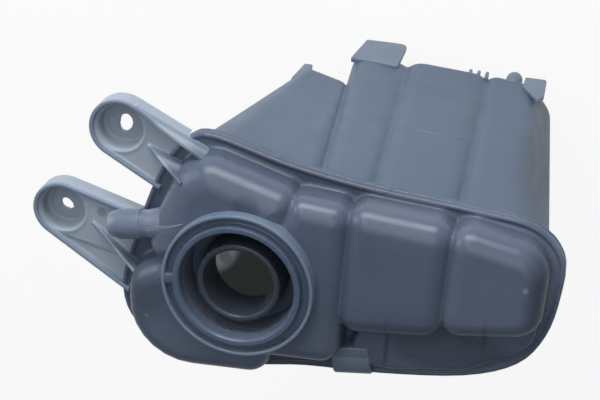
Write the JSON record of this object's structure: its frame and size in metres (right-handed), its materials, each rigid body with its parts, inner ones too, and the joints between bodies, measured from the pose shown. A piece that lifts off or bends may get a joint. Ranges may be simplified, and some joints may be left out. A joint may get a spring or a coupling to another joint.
{
  "type": "coolant expansion tank",
  "caption": "Moulded coolant expansion tank with a pillowed top half, a fluted lower half, a welded flange, a threaded filler neck, mounting ears and hose spigots.",
  "frame": {"origin": "centre of the filler neck's rim", "axes": "+Z out of the filler neck, +X along the tank from the neck towards the far end, +Y across the tank towards the side that the mounting ears lean to"},
  "size_m": [0.246, 0.1248, 0.234],
  "materials": {
    "upper_shell": "satin translucent polypropylene",
    "lower_shell": "satin translucent polypropylene"
  },
  "bodies": {
    "root": {"upper_shell": "upper_shell", "lower_shell": "lower_shell"}
  },
  "joints": []
}
